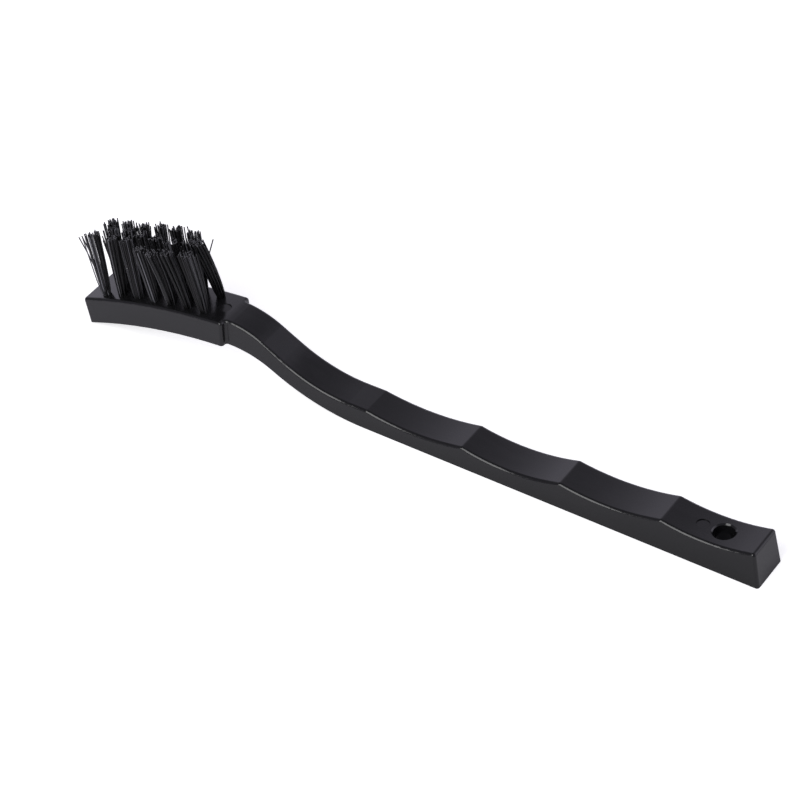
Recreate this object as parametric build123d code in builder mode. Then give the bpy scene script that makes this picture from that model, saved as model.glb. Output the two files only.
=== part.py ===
"""Hand brush with an arched head: one moulded body, twenty stapled tufts and their anchors.

Millimetres, +Z up. The body's flat underside lies on Z = 0 and the origin is half-way along it,
with the head at -X and the hanging hole at +X. Stations along the body are measured from the tip.
"""

import os
from math import atan2, cos, degrees, pi, radians, sin, sqrt, tan

from build123d import *

os.makedirs("parts", exist_ok=True)

# Moulded body, seen from the side
body_length = 170.0
end_face_lean = 1.7  # how far the end's top edge stands back from its bottom edge
head_length = 37.9
tip_height = 6.0
arch_middle_station = 18.75
arch_middle_height = 11.53
shoulder_height = 14.37
tip_bottom_station = 1.8
tip_bottom_height = 0.14

neck_drop_angle = 28.9
neck_crest_radius = 20.3
neck_slope_length = 5.7
neck_trough_radius = 35.0
underside_flat_start = 74.0
underside_drop_angle = 26.9
underside_trough_radius = 52.6
underside_crest_radius = 24.9
underside_head_angle = 5.0  # slope of the underside where it passes from neck to head
shoulder_blend_radius = 15.0

# Finger grip: shallow hollows between evenly spaced cross ridges
first_ridge_station = 74.4
last_ridge_to_end = 23.5
ridge_heights = (4.74, 5.32, 6.28, 7.45)
end_height = 8.39
hollow_depths = (1.27, 1.62, 1.42, 1.34)
ridge_radius = 1.2

# Moulded body, seen from above: widths across the top face
mould_draft = 3.2
head_width = 11.25
neck_width = 8.2
waist_station = 58.5
waist_height = 6.5
waist_width = 8.45
first_ridge_width = 8.6
end_width = 9.65
neck_corner_radius = 0.6  # inner corner between neck and shoulder
edge_radius = 0.7  # upright corners and the rim of the top face

# Hanging hole and the mould's ejector marks
hang_hole_to_end = 11.0
hang_hole_diameter = 4.8
hang_hole_rim_chamfer = 0.3
head_mark_to_shoulder = 2.7
grip_mark_to_end = 15.9
ejector_mark_diameter = 3.0
ejector_mark_depth = 0.18

# Bristle field: three staggered rows of parallel holes
tuft_pitch = 4.47
row_spacing = 3.2
outer_row_start = 5.1
outer_row_tufts = 7
middle_row_tufts = 6
bristle_lean = 8.5  # from the vertical, towards the tip
bristle_length = 15.0  # standing out of the head
tuft_sides = 12  # holes and tufts are near-round prisms, flat where the anchor crosses them
tuft_hole_diameter = 1.9
tuft_hole_depth = 3.6
tuft_side_clearance = 0.05
tuft_flare = 0.75  # how far each tuft spreads beyond its hole, at its end
tuft_fold_chamfer = 0.45

# Anchors: flat wire driven across each tuft's fold
anchor_width = 2.5
anchor_thickness = 0.3
anchor_height = 1.5
anchor_floor_height = 0.8  # folded bristle left under the anchor

# Lengths added so that cutting shapes pass clear of the surface they cut
cut_margin = 2.0

draft_run = tan(radians(mould_draft))
tuft_radius = tuft_hole_diameter / 2 - tuft_side_clearance
flat_turn = 180 / tuft_sides  # turns a polygon until a flat faces the anchor
lean_axis = Vector(-sin(radians(bristle_lean)), 0, cos(radians(bristle_lean)))


def from_tip(station):
    return station - body_length / 2


def foot_half_width(top_width, height):
    """Half-width at Z = 0 of drafted walls that are top_width apart at this height."""
    return top_width / 2 + height * draft_run


def height_on(arc, x, side):
    """Height of a side-view arc at x: side is 1 for a crest and -1 for a hollow."""
    centre = arc.arc_center
    return centre.Y + side * sqrt(arc.radius**2 - (x - centre.X) ** 2)


def anchor_wire(mode=Mode.ADD):
    """One anchor standing on the current location, added or cut away."""
    Box(
        anchor_width,
        anchor_thickness,
        anchor_height,
        align=(Align.CENTER, Align.CENTER, Align.MIN),
        mode=mode,
    )


tip_top = (from_tip(0), tip_height)
shoulder_top = (from_tip(head_length), shoulder_height)
tip_bottom = (from_tip(tip_bottom_station), tip_bottom_height)
end_top = (from_tip(body_length - end_face_lean), end_height)
end_bottom = (from_tip(body_length), 0)
ridge_run = body_length - last_ridge_to_end - first_ridge_station
ridge_pitch = ridge_run / (len(ridge_heights) - 1)
ridges = [
    (from_tip(first_ridge_station + i * ridge_pitch), height)
    for i, height in enumerate(ridge_heights)
]

# Moulded body
with BuildPart() as body:
    with BuildSketch(Plane.XZ) as side_view:
        with BuildLine():
            arch = ThreePointArc(
                tip_top, (from_tip(arch_middle_station), arch_middle_height), shoulder_top
            )
            crest = JernArc(shoulder_top, (1, 0), neck_crest_radius, -neck_drop_angle)
            slope = Line(crest @ 1, crest @ 1 + (crest % 1) * neck_slope_length)
            trough = JernArc(slope @ 1, slope % 1, neck_trough_radius, neck_drop_angle)
            Line(trough @ 1, ridges[0])
            hollow = [
                SagittaArc(start, end, -depth)
                for start, end, depth in zip(ridges, ridges[1:] + [end_top], hollow_depths)
            ]
            Line(end_top, end_bottom)
            flat = Line(end_bottom, (from_tip(underside_flat_start), 0))
            low = JernArc(flat @ 1, (-1, 0), underside_trough_radius, -underside_drop_angle)
            high = JernArc(
                low @ 1,
                low % 1,
                underside_crest_radius,
                underside_drop_angle + underside_head_angle,
            )
            TangentArc(high @ 1, tip_bottom, tangent=high % 1)
            Line(tip_bottom, tip_top)
        make_face()
        for ridge in ridges:
            fillet(side_view.vertices().sort_by_distance(ridge)[0], ridge_radius)
        fillet(side_view.vertices().sort_by_distance(shoulder_top)[0], shoulder_blend_radius)
    extrude(amount=head_width, both=True)

    # The plan outline at Z = 0, drawn in by the mould's draft at the height of the loft's top
    shoulder_foot = from_tip(head_length) + shoulder_height * draft_run
    with BuildSketch(Plane.XY) as plan_view:
        with BuildLine():
            past_tip = (from_tip(-cut_margin), foot_half_width(head_width, tip_height))
            past_end = (from_tip(body_length + cut_margin), foot_half_width(end_width, end_height))
            shoulder_in = (shoulder_foot, foot_half_width(neck_width, shoulder_height))
            waist = (from_tip(waist_station), foot_half_width(waist_width, waist_height))
            first_ridge = (ridges[0][0], foot_half_width(first_ridge_width, ridges[0][1]))
            Polyline(
                (past_tip[0], 0),
                past_tip,
                (shoulder_foot, foot_half_width(head_width, shoulder_height)),
                shoulder_in,
            )
            ThreePointArc(shoulder_in, waist, first_ridge)
            Polyline(first_ridge, past_end, (past_end[0], 0))
            mirror(about=Plane.XZ)
        make_face()
    loft_height = shoulder_height + cut_margin
    with BuildSketch(Plane.XY.offset(loft_height)):
        add(plan_view.sketch)
        offset(amount=-loft_height * draft_run, kind=Kind.INTERSECTION, mode=Mode.REPLACE)
    loft(ruled=True, mode=Mode.INTERSECT)

    # Inner corners where the neck meets the shoulder
    corner_height = shoulder_height - cut_margin
    for side in (-1, 1):
        corner = (from_tip(head_length), side * neck_width / 2, corner_height)
        fillet(
            body.edges().filter_by(Axis.Y, reverse=True).sort_by_distance(corner)[0],
            neck_corner_radius,
        )

    # Outer corners and the rim of the whole top face, rounded together
    rounded = body.faces().sort_by(Axis.X)[0].edges().filter_by(Axis.Y, reverse=True)
    rounded += body.faces().sort_by(Axis.X)[-1].edges().filter_by(Axis.Y, reverse=True)
    for side in (-1, 1):
        corner = (from_tip(head_length), side * head_width / 2, corner_height)
        rounded += body.edges().filter_by(Axis.Y, reverse=True).sort_by_distance(corner)[:1]
    top_edges = body.faces().filter_by(lambda f: f.normal_at().Z > 0.5).edges()
    rounded += [e for e in top_edges if sum(e.is_same(other) for other in top_edges) == 1]
    fillet(rounded, edge_radius)

    # Hanging hole, right through
    hang_x = from_tip(body_length - hang_hole_to_end)
    with Locations((hang_x, 0, -cut_margin)):
        Cylinder(
            hang_hole_diameter / 2,
            end_height + 2 * cut_margin,
            align=(Align.CENTER, Align.CENTER, Align.MIN),
            mode=Mode.SUBTRACT,
        )
    hang_wall = body.faces().filter_by(GeomType.CYLINDER).sort_by_distance((hang_x, 0, 1))[0]
    chamfer(hang_wall.edges().filter_by(GeomType.LINE, reverse=True), hang_hole_rim_chamfer)

    # Shallow round marks where ejector pins pushed the moulding out
    head_mark_x = from_tip(head_length - head_mark_to_shoulder)
    grip_mark_x = from_tip(body_length - grip_mark_to_end)
    for mark_x, arc, side in ((head_mark_x, arch, 1), (grip_mark_x, hollow[-1], -1)):
        with Locations((mark_x, 0, height_on(arc, mark_x, side) - ejector_mark_depth)):
            Cylinder(
                ejector_mark_diameter / 2,
                cut_margin,
                align=(Align.CENTER, Align.CENTER, Align.MIN),
                mode=Mode.SUBTRACT,
            )

    # Blind tuft holes, each with the slit its anchor was driven into
    tufts = [("front", -row_spacing, outer_row_start, outer_row_tufts)]
    tufts += [("middle", 0, outer_row_start + tuft_pitch / 2, middle_row_tufts)]
    tufts += [("back", row_spacing, outer_row_start, outer_row_tufts)]
    mouths = {}
    for row, y, start, count in tufts:
        for i in range(count):
            x = from_tip(start + i * tuft_pitch)
            mouths[f"{row}_{i + 1}"] = Plane(
                (x, y, height_on(arch, x, 1)), x_dir=(0, 1, 0), z_dir=lean_axis
            )
    floors = {name: mouth.offset(-tuft_hole_depth) for name, mouth in mouths.items()}
    with BuildSketch(*floors.values()):
        RegularPolygon(tuft_hole_diameter / 2, tuft_sides, rotation=flat_turn)
    extrude(amount=tuft_hole_depth + cut_margin, mode=Mode.SUBTRACT)
    with Locations(*[floor.offset(anchor_floor_height) for floor in floors.values()]):
        anchor_wire(Mode.SUBTRACT)

body.part.label = "body"
export_step(body.part, "parts/body.step")

# Tufts: a bundle that fills its hole, folded at the bottom, and spreads on its way out
flare_angle = degrees(atan2(tuft_flare * cos(pi / tuft_sides), bristle_length))
arch_centre = Vector(arch.arc_center.X, 0, arch.arc_center.Y)
for name, mouth in mouths.items():
    cut_point = mouth.origin + lean_axis * bristle_length
    cut_direction = Vector(mouth.origin.X, 0, mouth.origin.Z) - arch_centre
    along_tuft = Axis(mouth.origin, lean_axis)
    with BuildPart() as tuft:
        with BuildSketch(mouth):
            RegularPolygon(tuft_radius, tuft_sides, rotation=flat_turn)
        extrude(amount=bristle_length + cut_margin)
        draft(tuft.faces().sort_by(along_tuft)[1:-1], mouth, -flare_angle)
        extrude(tuft.faces().sort_by(along_tuft)[0], amount=tuft_hole_depth)
        chamfer(tuft.faces().sort_by(along_tuft)[0].edges(), tuft_fold_chamfer)
        split(bisect_by=Plane(cut_point, z_dir=cut_direction), keep=Keep.BOTTOM)
        with Locations(floors[name].offset(anchor_floor_height)):
            anchor_wire(Mode.SUBTRACT)
    tuft.part.label = f"tuft_{name}"
    export_step(tuft.part, f"parts/tuft_{name}.step")

# Anchors
for name, floor in floors.items():
    with BuildPart() as anchor:
        with Locations(floor.offset(anchor_floor_height)):
            anchor_wire()
    anchor.part.label = f"anchor_{name}"
    export_step(anchor.part, f"parts/anchor_{name}.step")
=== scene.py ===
"""Dress the packed groove brush: moulded body, nylon filament tufts, brass anchors and a pale stage.

Metres, in the frame of the packed model: the body lies along X with its head at -X, and Z is up.
"""

import math
import random

import bmesh
import bpy
from bpy.props import FloatProperty, FloatVectorProperty, IntProperty, PointerProperty
from mathutils import Matrix, Vector


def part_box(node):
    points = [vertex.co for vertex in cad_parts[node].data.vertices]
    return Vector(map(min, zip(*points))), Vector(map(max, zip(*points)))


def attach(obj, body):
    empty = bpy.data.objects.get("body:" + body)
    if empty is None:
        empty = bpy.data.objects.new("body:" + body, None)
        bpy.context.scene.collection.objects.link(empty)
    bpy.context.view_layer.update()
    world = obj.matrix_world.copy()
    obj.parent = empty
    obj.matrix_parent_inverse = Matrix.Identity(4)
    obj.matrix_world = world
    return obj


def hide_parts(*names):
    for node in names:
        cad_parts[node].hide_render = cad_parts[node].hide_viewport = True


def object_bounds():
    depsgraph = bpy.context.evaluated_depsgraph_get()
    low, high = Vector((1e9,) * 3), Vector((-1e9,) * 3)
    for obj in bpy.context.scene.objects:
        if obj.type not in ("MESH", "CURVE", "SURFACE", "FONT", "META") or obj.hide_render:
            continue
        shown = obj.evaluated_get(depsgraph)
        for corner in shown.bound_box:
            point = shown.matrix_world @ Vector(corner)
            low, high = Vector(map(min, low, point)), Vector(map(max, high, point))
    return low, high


bl_info = {
    "name": "Groove Brush",
    "version": (1, 0, 0),
    "blender": (4, 5, 0),
    "location": "View3D > Sidebar > Brush",
    "description": "Filament tufts, finishes and a studio stage for a small arched hand brush",
    "category": "Add Mesh",
}

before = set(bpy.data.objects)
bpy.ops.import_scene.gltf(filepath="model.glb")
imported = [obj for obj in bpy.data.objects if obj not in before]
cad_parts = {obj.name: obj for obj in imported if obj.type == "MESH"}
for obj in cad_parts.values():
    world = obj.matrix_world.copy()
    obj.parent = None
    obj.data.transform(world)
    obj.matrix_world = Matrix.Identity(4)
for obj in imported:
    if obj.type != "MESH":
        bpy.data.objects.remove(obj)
cad_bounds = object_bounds()

# How each tuft stands, row by row from the tip: degrees it leans towards the tip, degrees it leans
# towards +Y, and its spread at the trimmed end beside the usual one
TUFT_LEANS = {
    "front": (
        (15, 4, 1.25),
        (9, 2, 0.95),
        (11, 2, 0.95),
        (7, -8, 0.95),
        (11, -10, 1.1),
        (15, -6, 1.0),
        (14, -2, 1.1),
    ),
    "middle": (
        (10, 2, 1.0),
        (10, 3, 1.0),
        (11, -1, 1.05),
        (12, -2, 1.0),
        (13, -3, 1.05),
        (15, 2, 1.1),
    ),
    "back": (
        (10, 2, 1.1),
        (10, 2, 0.85),
        (10, 0, 0.9),
        (10, 4, 0.85),
        (12, 4, 0.9),
        (11, 3, 0.95),
        (17, -8, 1.1),
    ),
}
# Filaments that have sprung out of their tuft: the same two angles, and the share of full length
STRAY_LEANS = {
    "front_1": ((25, -2, 1.0), (23, 0, 1.0)),
    "front_2": ((22, 5, 0.98), (16, -2, 0.97)),
    "back_2": ((3, 5, 1.0),),
    "back_3": ((7, 5, 1.02), (3, 2, 1.0)),
    "back_4": ((18, 6, 1.0), (15, 9, 1.02)),
    "back_6": ((24, 13, 1.02), (18, 8, 1.0), (-9, 4, 1.0)),
}
STRAY_SPOTS = 8  # places in a hole that such a filament can come from
STRAY_SHADE = 0.5  # between the darkest filaments, at 0, and the lightest
WHITE = (1, 1, 1, 1)
ROOM_TINT = (0.985, 0.95, 1.115, 1)  # cool light of the studio


class BodyFinish(bpy.types.PropertyGroup):
    """Moulded plastic of the body"""

    colour: FloatVectorProperty(
        name="Colour",
        description="Black of the moulded plastic",
        subtype="COLOR",
        size=3,
        min=0,
        max=1,
        default=(0.0055, 0.0055, 0.006),
    )
    worn_colour: FloatVectorProperty(
        name="Worn colour",
        description="Lighter black of streaks of flow and of handled rims",
        subtype="COLOR",
        size=3,
        min=0,
        max=1,
        default=(0.01045, 0.01045, 0.0114),
    )
    roughness: FloatProperty(
        name="Roughness",
        description="Gloss of the mould's polished faces",
        subtype="FACTOR",
        min=0,
        max=1,
        default=0.21,
    )
    grain_size: FloatProperty(
        name="Grain size",
        description="Width of the finest grain in the moulded skin",
        unit="LENGTH",
        default=0.00025,
    )
    ripple_size: FloatProperty(
        name="Ripple size",
        description="Width of the slow unevenness left by shrinkage",
        unit="LENGTH",
        default=0.006,
    )


class FilamentSizes(bpy.types.PropertyGroup):
    """Nylon filaments of the tufts"""

    colour: FloatVectorProperty(
        name="Colour",
        description="Black of the nylon",
        subtype="COLOR",
        size=3,
        min=0,
        max=1,
        default=(0.003, 0.003, 0.0033),
    )
    # Painted highlight: this grey stands in for the bright streaks that light draws along the
    # lightest filaments
    highlight_streak_colour: FloatVectorProperty(
        name="Light colour",
        description="Grey of the few lightest filaments",
        subtype="COLOR",
        size=3,
        min=0,
        max=1,
        default=(0.18, 0.18, 0.198),
    )
    end_colour: FloatVectorProperty(
        name="End colour",
        description="Grey of the freshly cut ends",
        subtype="COLOR",
        size=3,
        min=0,
        max=1,
        default=(0.2, 0.2, 0.21),
    )
    diameter: FloatProperty(
        name="Diameter",
        description="Thickness of one filament",
        unit="LENGTH",
        default=0.00028,
    )
    per_tuft: IntProperty(
        name="Per tuft",
        description="Filament ends that stand out of each hole",
        min=1,
        default=35,
    )
    free_length: FloatProperty(
        name="Free length",
        description="How far the bristles stand out of the head",
        unit="LENGTH",
        default=0.015,
    )
    length_scatter: FloatProperty(
        name="Length scatter",
        description="Unevenness of the trimmed ends",
        unit="LENGTH",
        default=0.0001,
    )
    hole_radius: FloatProperty(
        name="Bundle radius",
        description="Radius of the bundle where it leaves its hole",
        unit="LENGTH",
        default=0.0009,
    )
    end_radius: FloatProperty(
        name="End radius",
        description="Radius of the spread bundle at its trimmed end",
        unit="LENGTH",
        default=0.0015,
    )
    drift: FloatProperty(
        name="Drift",
        description="How far a filament strays from its place in the bundle, in end radii",
        min=0,
        default=0.17,
    )
    fan: FloatProperty(
        name="Fan",
        description="How far a tuft has turned to its own lean as it leaves the hole",
        subtype="FACTOR",
        min=0,
        max=1,
        default=0.65,
    )
    splay: FloatProperty(
        name="Splay",
        description="How the bundle spreads along its length: 1 is even, less is sooner",
        min=0,
        default=0.5,
    )
    hole_lean: FloatProperty(
        name="Hole lean",
        description="Lean of the tuft holes towards the tip",
        unit="ROTATION",
        default=math.radians(8.5),
    )
    anchor_depth: FloatProperty(
        name="Anchor depth",
        description="Depth of each anchor's middle below the mouth of its hole",
        unit="LENGTH",
        default=0.00205,
    )
    sides: IntProperty(
        name="Sides",
        description="Sides of one filament",
        min=3,
        default=6,
    )
    bends: IntProperty(
        name="Bends",
        description="Straight stretches that make up one curved filament",
        min=1,
        default=6,
    )


class StageSettings(bpy.types.PropertyGroup):
    """Camera, lights and floor"""

    azimuth: FloatProperty(
        name="Azimuth",
        description="Turn of the camera about the upright axis, from straight in front",
        unit="ROTATION",
        default=math.radians(32.48),
    )
    elevation: FloatProperty(
        name="Elevation",
        description="Height of the camera above the floor, as an angle",
        unit="ROTATION",
        default=math.radians(39.9),
    )
    roll: FloatProperty(
        name="Roll",
        description="Tilt of the camera about its line of sight",
        unit="ROTATION",
        default=math.radians(-0.57),
    )
    distance: FloatProperty(
        name="Distance",
        description="Distance from the camera to the point it looks at",
        unit="LENGTH",
        default=0.7088,
    )
    lens: FloatProperty(
        name="Lens",
        description="Focal length, in millimetres on a 36 mm sensor",
        default=148.4,
    )
    look_at: FloatVectorProperty(
        name="Look at",
        description="Point that the camera looks at",
        subtype="TRANSLATION",
        unit="LENGTH",
        size=3,
        default=(-0.0046, 0.0, 0.00748),
    )
    floor_size: FloatProperty(
        name="Floor size",
        description="Length of the floor's sides",
        unit="LENGTH",
        default=6.0,
    )
    floor_colour: FloatVectorProperty(
        name="Floor colour",
        description="Pale floor under the brush",
        subtype="COLOR",
        size=3,
        min=0,
        max=1,
        default=(0.85, 0.85, 0.85),
    )
    horizon_light: FloatProperty(
        name="Horizon light",
        description="Brightness of the room low down behind the brush",
        min=0,
        default=0.86,
    )
    overhead_light: FloatProperty(
        name="Overhead light",
        description="Brightness of the room straight above",
        min=0,
        default=0.17,
    )
    window_light: FloatProperty(
        name="Window light",
        description="Brightness added to the room on the side of the brush's end",
        min=0,
        default=0.3,
    )
    seen_glow: FloatProperty(
        name="Seen glow",
        description="Brightness added to the floor as the camera sees it",
        min=0,
        default=0.65,
    )
    tip_glow: FloatProperty(
        name="Tip glow",
        description="Brightness added to what the brush reflects of the floor at its tip",
        min=0,
        default=0.24,
    )
    end_glow: FloatProperty(
        name="End glow",
        description="Brightness added to what the brush reflects of the floor at its end",
        min=0,
        default=0.04,
    )
    key_place: FloatVectorProperty(
        name="Key place",
        description="Middle of the soft box in front of the brush",
        subtype="TRANSLATION",
        unit="LENGTH",
        size=3,
        default=(-0.08, -0.52, 0.44),
    )
    key_width: FloatProperty(
        name="Key width",
        description="Width of the soft box",
        unit="LENGTH",
        default=0.4,
    )
    key_height: FloatProperty(
        name="Key height",
        description="Height of the soft box",
        unit="LENGTH",
        default=0.6,
    )
    key_strength: FloatProperty(
        name="Key strength",
        description="Power of the soft box in front of the brush",
        unit="POWER",
        default=3.0,
    )


GROUPS = {
    "brush_body": BodyFinish,
    "brush_filaments": FilamentSizes,
    "brush_stage": StageSettings,
}


class Number:
    """A number in a material; arithmetic on it adds Math nodes."""

    def __init__(self, graph, socket):
        self.graph = graph
        self.socket = socket

    def _math(self, operation, first, second):
        return self.graph.add("Math", {"operation": operation}, {0: first, 1: second})

    def __add__(self, other):
        return self._math("ADD", self, other)

    def __radd__(self, other):
        return self._math("ADD", other, self)

    def __sub__(self, other):
        return self._math("SUBTRACT", self, other)

    def __rsub__(self, other):
        return self._math("SUBTRACT", other, self)

    def __mul__(self, other):
        return self._math("MULTIPLY", self, other)

    def __rmul__(self, other):
        return self._math("MULTIPLY", other, self)

    def __pow__(self, other):
        return self._math("POWER", self, other)

    def __abs__(self):
        return self.graph.add("Math", {"operation": "ABSOLUTE"}, {0: self})


class Graph:
    """Nodes of one material or world."""

    def __init__(self, owner):
        owner.use_nodes = True
        self.tree = owner.node_tree
        self.tree.nodes.clear()

    def add(self, kind, settings=None, sockets=None, output=0):
        """Add a node: its settings first, then its sockets; returns one of its outputs."""
        node = self.tree.nodes.new(f"ShaderNode{kind}")
        for name, value in (settings or {}).items():
            if name == "stops":
                self._fill_ramp(node.color_ramp, value)
            else:
                setattr(node, name, value)
        for name, value in (sockets or {}).items():
            if isinstance(value, Number):
                self.tree.links.new(value.socket, node.inputs[name])
            else:
                node.inputs[name].default_value = value
        return Number(self, node.outputs[output]) if len(node.outputs) else None

    @staticmethod
    def _fill_ramp(ramp, stops):
        while len(ramp.elements) < len(stops):
            ramp.elements.new(1)
        for element, (position, value) in zip(ramp.elements, stops):
            element.position = position
            element.color = (value, value, value, 1)

    def axes(self, vector):
        """The X, Y and Z parts of a vector."""
        parts = self.add("SeparateXYZ", None, {"Vector": vector}).socket.node
        return [Number(self, output) for output in parts.outputs]

    def ramp(self, value, *stops):
        """A grey ramp through (position, value) stops."""
        return self.add("ValToRGB", {"stops": stops}, {"Fac": value})

    def noise(self, vector, size, detail=2.0):
        """Cloudy noise whose blotches are about this wide, in metres."""
        return self.add(
            "TexNoise", None, {"Vector": vector, "Scale": 1 / size, "Detail": detail}
        )

    def mix_colour(self, factor, first, second):
        """Blend two colours; factor 0 gives the first."""
        return self.add(
            "Mix", {"data_type": "RGBA"}, {0: factor, 6: first, 7: second}, output=2
        )


def rgba(colour):
    return (*colour, 1)


def settings(context):
    """The groups of settings of the scene: body, filaments and stage."""
    return [getattr(context.scene, name) for name in GROUPS]


def new_material(name):
    material = bpy.data.materials.new(name)
    return material, Graph(material)


def finish_material(graph, sockets):
    """Close a material with a Principled shader that has these sockets."""
    shader = graph.add("BsdfPrincipled", None, sockets)
    graph.add("OutputMaterial", None, {"Surface": shader})


def moulded_plastic(finish):
    """Satin black plastic: fine grain, slow shrinkage ripple, faint flow and polished rims."""
    material, graph = new_material("moulded_plastic")
    place = graph.add("TexCoord", output=3)
    grain = graph.noise(place, finish.grain_size, 3)
    ripple = graph.noise(place, finish.ripple_size, 1)
    stretched = graph.add("Mapping", None, {"Vector": place, "Scale": (0.08, 1, 1)})
    flow = graph.noise(stretched, finish.ripple_size / 4, 3)

    # Rims between the top and the side walls take the most handling, and shine a little more
    _, sideways, _ = graph.axes(graph.add("TexCoord", output=1))
    rim = graph.ramp(abs(sideways), (0.15, 0), (0.45, 1), (0.8, 1), (0.95, 0))

    roughness = finish.roughness + 0.10 * (ripple - 0.5) + 0.12 * (flow - 0.5) - 0.06 * rim
    wear = 0.6 * flow + 0.4 * rim * grain
    height = 0.0000012 * grain + 0.00001 * ripple
    bump = graph.add("Bump", None, {"Height": height, "Distance": 1.0, "Strength": 0.6})
    finish_material(
        graph,
        {
            "Base Color": graph.mix_colour(wear, rgba(finish.colour), rgba(finish.worn_colour)),
            "Roughness": roughness,
            "Normal": bump,
            "IOR": 1.5,
        },
    )
    return material


def filament_nylon(sizes):
    """Black nylon: each filament a little lighter or darker at random, the few lightest in a grey
    that is painted highlight, with pale matt cut ends.
    """
    material, graph = new_material("filament_nylon")
    place = graph.add("TexCoord", output=3)
    shade = graph.add("Attribute", {"attribute_name": "shade"}, output=2)
    cut = graph.add("Attribute", {"attribute_name": "cut"}, output=2)
    speckle = graph.noise(place, sizes.diameter, 2)
    stretched = graph.add("Mapping", None, {"Vector": place, "Scale": (1, 1, 0.05)})
    drawn = graph.noise(stretched, sizes.diameter / 2, 2)

    dark = rgba(sizes.colour)
    # Filaments differ in tone at random; the few with the highest shade take a light grey that is a
    # painted highlight along them
    tone_and_highlight_colour = graph.mix_colour(shade**6, dark, rgba(sizes.highlight_streak_colour))
    end_colour = graph.mix_colour(speckle, dark, rgba(sizes.end_colour))
    roughness = 0.30 + 0.12 * (drawn - 0.5) + 0.10 * shade + 0.25 * cut
    height = 0.000003 * drawn + 0.00001 * cut * speckle
    bump = graph.add("Bump", None, {"Height": height, "Distance": 1.0, "Strength": 0.5})
    finish_material(
        graph,
        {
            "Base Color": graph.mix_colour(cut, tone_and_highlight_colour, end_colour),
            "Roughness": roughness,
            "Normal": bump,
            "IOR": 1.46,
        },
    )
    return material


def rolled_brass():
    """Flat rolled brass wire with faint rolling marks and dull sheared ends."""
    material, graph = new_material("rolled_brass")
    place = graph.add("TexCoord", output=3)
    stretched = graph.add("Mapping", None, {"Vector": place, "Scale": (1, 0.06, 1)})
    rolling = graph.noise(stretched, 0.0001, 3)
    tarnish = graph.noise(place, 0.0015, 2)
    bump = graph.add(
        "Bump", None, {"Height": 0.000004 * rolling, "Distance": 1.0, "Strength": 0.7}
    )
    finish_material(
        graph,
        {
            "Base Color": graph.mix_colour(tarnish, (0.62, 0.46, 0.20, 1), (0.42, 0.29, 0.12, 1)),
            "Roughness": 0.28 + 0.25 * tarnish,
            "Metallic": 1.0,
            "Normal": bump,
        },
    )
    return material


def dress(node, material):
    """Give a CAD node this material in all its slots."""
    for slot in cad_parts[node].material_slots:
        slot.material = material


def link_piece(name, mesh, material):
    """Put a finished mesh in the scene as a piece that rides on the brush."""
    mesh.materials.append(material)
    piece = bpy.data.objects.new(name, mesh)
    bpy.context.scene.collection.objects.link(piece)
    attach(piece, "root")
    return piece


def anchor_middle(name):
    low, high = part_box(f"anchor_{name}")
    return (low + high) / 2


def straight_filament(sizes):
    """A filament one unit long on Z, in rings that can be bent, with its two cut ends."""
    bm = bmesh.new()
    bmesh.ops.create_cone(
        bm,
        cap_ends=True,
        segments=sizes.sides,
        radius1=sizes.diameter / 2,
        radius2=sizes.diameter / 2,
        depth=1,
        matrix=Matrix.Translation((0, 0, 0.5)),
    )
    upright = [edge for edge in bm.edges if abs(edge.verts[0].co.z - edge.verts[1].co.z) > 0.5]
    bmesh.ops.subdivide_edges(bm, edges=upright, cuts=sizes.bends - 1, use_grid_fill=True)
    cut = bm.faces.layers.float.new("cut")
    for face in bm.faces:
        is_end = abs(face.normal.z) > 0.5
        face[cut] = float(is_end)
        face.smooth = not is_end
        if is_end:
            for edge in face.edges:
                edge.smooth = False
    mesh = bpy.data.meshes.new("straight_filament")
    bm.to_mesh(mesh)
    bm.free()
    return mesh


def leaning(towards_tip, towards_back):
    """Unit direction that leans from the vertical by these two angles, in radians."""
    return Vector((-math.tan(towards_tip), math.tan(towards_back), 1)).normalized()


def spiral_spot(index, count):
    """Point number index of count points spread evenly over a unit disc."""
    radius = math.sqrt((index + 0.5) / count)
    turn = index * math.pi * (3 - math.sqrt(5))
    return Vector((radius * math.cos(turn), radius * math.sin(turn), 0))


def bezier_point(share, start, first_handle, second_handle, end):
    """Point at this share of a cubic curve."""
    back = 1 - share
    return (
        start * back**3
        + first_handle * (3 * back * back * share)
        + second_handle * (3 * back * share * share)
        + end * share**3
    )


def bent_path(root, mouth, end, place_in_hole, place_at_end, sizes):
    """Points of a filament: up its hole, out at the mouth, and along its tuft's curve to its end.

    The two places are how far the filament stands from the middle of its bundle.
    """
    hole_axis = (mouth - root).normalized()
    chord = end - mouth
    along = chord.normalized()
    leave = hole_axis.lerp(along, sizes.fan).normalized()
    arrive = 2 * along * along.dot(leave) - leave
    reach = chord.length / 3
    path = [root + place_in_hole]
    for i in range(sizes.bends):
        share = (i / (sizes.bends - 1)) ** 1.5
        centre = bezier_point(share, mouth, mouth + leave * reach, end - arrive * reach, end)
        path.append(centre + place_in_hole.lerp(place_at_end, share**sizes.splay))
    return path


def add_filament(bm, template, path, shade):
    """Add one filament bent along a path to the tuft's mesh."""
    faces_before = len(bm.faces)
    verts_before = len(bm.verts)
    bm.from_mesh(template)
    bm.verts.ensure_lookup_table()
    bm.faces.ensure_lookup_table()
    steps = len(path) - 1
    turns = []
    for step in range(steps + 1):
        stretch = path[min(steps, step + 1)] - path[max(0, step - 1)]
        turns.append(Vector((0, 0, 1)).rotation_difference(stretch))
    for vert in bm.verts[verts_before:]:
        step = round(vert.co.z * steps)
        vert.co = path[step] + turns[step] @ Vector((vert.co.x, vert.co.y, 0))
    layer = bm.faces.layers.float["shade"]
    for face in bm.faces[faces_before:]:
        face[layer] = shade


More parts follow.
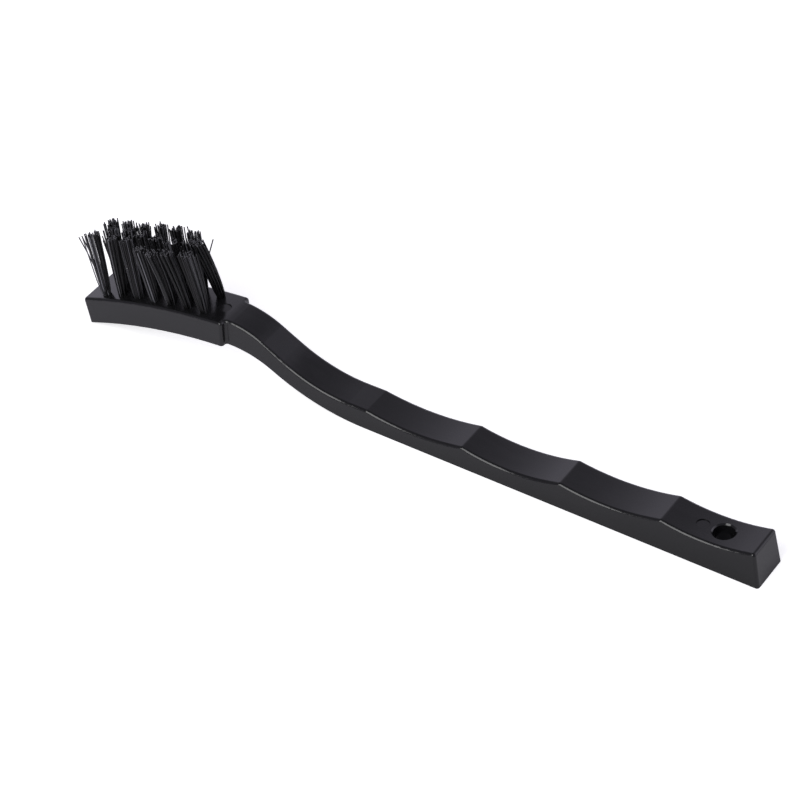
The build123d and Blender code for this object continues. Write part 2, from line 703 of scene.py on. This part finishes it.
def build_tuft(name, lean, trim_slope, strays, template, sizes):
    """Mesh of one tuft: filaments packed in its hole that spread to a trimmed end."""
    chance = random.Random(name)
    root = anchor_middle(name)
    mouth = root + leaning(sizes.hole_lean, 0) * sizes.anchor_depth
    towards_tip, towards_back, spread = lean
    lean_direction = leaning(math.radians(towards_tip), math.radians(towards_back))
    end = mouth + lean_direction * sizes.free_length
    bm = bmesh.new()
    bm.faces.layers.float.new("shade")
    bm.faces.layers.float.new("cut")
    for i in range(sizes.per_tuft):
        spot = spiral_spot(i, sizes.per_tuft)
        drift = Vector((chance.gauss(0, sizes.drift), chance.gauss(0, sizes.drift), 0))
        place = (spot + drift) * sizes.end_radius * spread
        trim = Vector((0, 0, trim_slope * place.x + chance.gauss(0, sizes.length_scatter)))
        path = bent_path(root, mouth, end + trim, spot * sizes.hole_radius, place, sizes)
        add_filament(bm, template, path, chance.random())
    for towards_tip, towards_back, share in strays:
        direction = leaning(math.radians(towards_tip), math.radians(towards_back))
        tip = mouth + direction * sizes.free_length * share
        spot = spiral_spot(chance.randrange(STRAY_SPOTS), STRAY_SPOTS)
        path = bent_path(root, mouth, tip, spot * sizes.hole_radius, Vector(), sizes)
        add_filament(bm, template, path, STRAY_SHADE)
    mesh = bpy.data.meshes.new(f"filaments_{name}")
    bm.to_mesh(mesh)
    bm.free()
    return mesh


class BRUSH_OT_body(bpy.types.Operator):
    """Finish the moulded body in satin black plastic"""

    bl_idname = "brush.body"
    bl_label = "Body"

    def execute(self, context):
        body_finish, _, _ = settings(context)
        dress("body", moulded_plastic(body_finish))
        return {"FINISHED"}


class BRUSH_OT_tufts(bpy.types.Operator):
    """Plant a bundle of bent filaments in every tuft hole"""

    bl_idname = "brush.tufts"
    bl_label = "Tufts"

    def execute(self, context):
        _, sizes, _ = settings(context)
        material = filament_nylon(sizes)
        template = straight_filament(sizes)
        for row, leans in TUFT_LEANS.items():
            names = [f"{row}_{i + 1}" for i in range(len(leans))]
            roots = [anchor_middle(name) for name in names]
            for i, (name, lean) in enumerate(zip(names, leans)):
                before, after = roots[max(0, i - 1)], roots[min(len(roots) - 1, i + 1)]
                slope = (after.z - before.z) / (after.x - before.x)
                strays = STRAY_LEANS.get(name, ())
                mesh = build_tuft(name, lean, slope, strays, template, sizes)
                piece = link_piece(f"filaments_{name}", mesh, material)
                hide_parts(f"tuft_{name}")
        bpy.data.meshes.remove(template)
        return {"FINISHED"}


class BRUSH_OT_anchors(bpy.types.Operator):
    """Finish the anchors in rolled brass"""

    bl_idname = "brush.anchors"
    bl_label = "Anchors"

    def execute(self, context):
        material = rolled_brass()
        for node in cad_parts:
            if node.startswith("anchor_"):
                dress(node, material)
        return {"FINISHED"}


def floor_paper(stage):
    """Pale paper that looks white where light reaches it and still takes the brush's shadow."""
    material, graph = new_material("floor_paper")
    paper = graph.add("BsdfDiffuse", None, {"Color": rgba(stage.floor_colour)})
    seen_glow = graph.add("Emission", None, {"Color": WHITE, "Strength": stage.seen_glow})
    # What the brush reflects of the floor falls off towards its end
    along, _, _ = graph.axes(graph.add("TexCoord", output=3))
    tip_x, end_x = cad_bounds[0][0], cad_bounds[1][0]
    share = graph.add("MapRange", None, {"Value": along, "From Min": tip_x, "From Max": end_x})
    near_tip = [stage.tip_glow * part for part in ROOM_TINT]
    near_end = [stage.end_glow * part for part in ROOM_TINT]
    colour = graph.mix_colour(share, near_tip, near_end)
    room_glow = graph.add("Emission", None, {"Color": colour, "Strength": 1})
    camera_ray = graph.add("LightPath", output=0)
    glow = graph.add("MixShader", None, {0: camera_ray, 1: room_glow, 2: seen_glow})
    lit = graph.add("AddShader", None, {0: paper, 1: glow})
    graph.add("OutputMaterial", None, {"Surface": lit})
    return material


def light_room(world, stage):
    """Room that is bright low down behind the brush, dim overhead and in front, and white to see."""
    graph = Graph(world)
    aside, depth, height = graph.axes(graph.add("TexCoord", output=0))
    low = graph.ramp(height, (0.36, 1), (0.5, 0.75), (0.64, 0.38), (0.8, 0.1), (1, 0))
    behind = graph.ramp(depth, (0, 0.12), (0.35, 1))
    window = graph.ramp(aside, (0.2, 0), (0.32, 1))
    range_of_light = stage.horizon_light - stage.overhead_light
    added = range_of_light * low + stage.window_light * window
    strength = stage.overhead_light + added * behind
    room = graph.add("Background", None, {"Color": ROOM_TINT, "Strength": strength})
    backdrop = graph.add("Background", None, {"Color": WHITE, "Strength": 1})
    camera_ray = graph.add("LightPath", output=0)
    surface = graph.add("MixShader", None, {0: camera_ray, 1: room, 2: backdrop})
    graph.add("OutputWorld", None, {"Surface": surface})


def add_soft_box(scene, stage):
    """A rectangular lamp in front of the brush, facing it."""
    lamp = bpy.data.lights.new("front_box", "AREA")
    lamp.shape = "RECTANGLE"
    lamp.size = stage.key_width
    lamp.size_y = stage.key_height
    lamp.energy = stage.key_strength
    box = bpy.data.objects.new("front_box", lamp)
    box.location = stage.key_place
    box.rotation_euler = (-box.location).to_track_quat("-Z", "Y").to_euler()
    scene.collection.objects.link(box)


def add_floor(scene, stage):
    """Floor under the brush, which isn't part of it."""
    bm = bmesh.new()
    bmesh.ops.create_grid(bm, x_segments=1, y_segments=1, size=stage.floor_size / 2)
    mesh = bpy.data.meshes.new("floor")
    bm.to_mesh(mesh)
    bm.free()
    mesh.materials.append(floor_paper(stage))
    floor = bpy.data.objects.new("floor", mesh)
    floor.location.z = cad_bounds[0][2]
    scene.collection.objects.link(floor)


def add_camera(scene, stage):
    """Camera turned about the point it looks at, with a slight roll."""
    away = Vector(
        (
            math.sin(stage.azimuth) * math.cos(stage.elevation),
            -math.cos(stage.azimuth) * math.cos(stage.elevation),
            math.sin(stage.elevation),
        )
    )
    lens = bpy.data.cameras.new("camera")
    lens.lens = stage.lens
    lens.sensor_width = 36
    lens.clip_start = 0.01
    camera = bpy.data.objects.new("camera", lens)
    aim = away.to_track_quat("Z", "Y").to_matrix().to_4x4()
    place = Matrix.Translation(Vector(stage.look_at) + away * stage.distance)
    camera.matrix_world = place @ aim @ Matrix.Rotation(stage.roll, 4, "Z")
    scene.collection.objects.link(camera)
    scene.camera = camera


class BRUSH_OT_stage(bpy.types.Operator):
    """Set the floor, the light of the room, the soft box and the camera"""

    bl_idname = "brush.stage"
    bl_label = "Stage"

    def execute(self, context):
        _, _, stage = settings(context)
        scene = context.scene
        add_floor(scene, stage)
        scene.world = bpy.data.worlds.new("room")
        light_room(scene.world, stage)
        add_soft_box(scene, stage)
        add_camera(scene, stage)
        scene.view_settings.view_transform = "Standard"
        return {"FINISHED"}


OPERATORS = (BRUSH_OT_body, BRUSH_OT_tufts, BRUSH_OT_anchors, BRUSH_OT_stage)


class BRUSH_PT_panel(bpy.types.Panel):
    """Steps that dress the brush, and their settings"""

    bl_idname = "BRUSH_PT_panel"
    bl_label = "Groove Brush"
    bl_space_type = "VIEW_3D"
    bl_region_type = "UI"
    bl_category = "Brush"

    def draw(self, context):
        for operator in OPERATORS:
            self.layout.operator(operator.bl_idname)
        for group, group_type in zip(settings(context), GROUPS.values()):
            column = self.layout.column()
            column.label(text=group_type.__doc__)
            for name in group_type.__annotations__:
                column.prop(group, name)


CLASSES = (*GROUPS.values(), *OPERATORS, BRUSH_PT_panel)


def register():
    for cls in CLASSES:
        bpy.utils.register_class(cls)
    for name, group_type in GROUPS.items():
        setattr(bpy.types.Scene, name, PointerProperty(type=group_type))


def unregister():
    for name in GROUPS:
        delattr(bpy.types.Scene, name)
    for cls in reversed(CLASSES):
        bpy.utils.unregister_class(cls)


def main():
    register()
    bpy.ops.brush.body()
    bpy.ops.brush.tufts()
    bpy.ops.brush.anchors()
    bpy.ops.brush.stage()


if __name__ == "__main__":
    main()
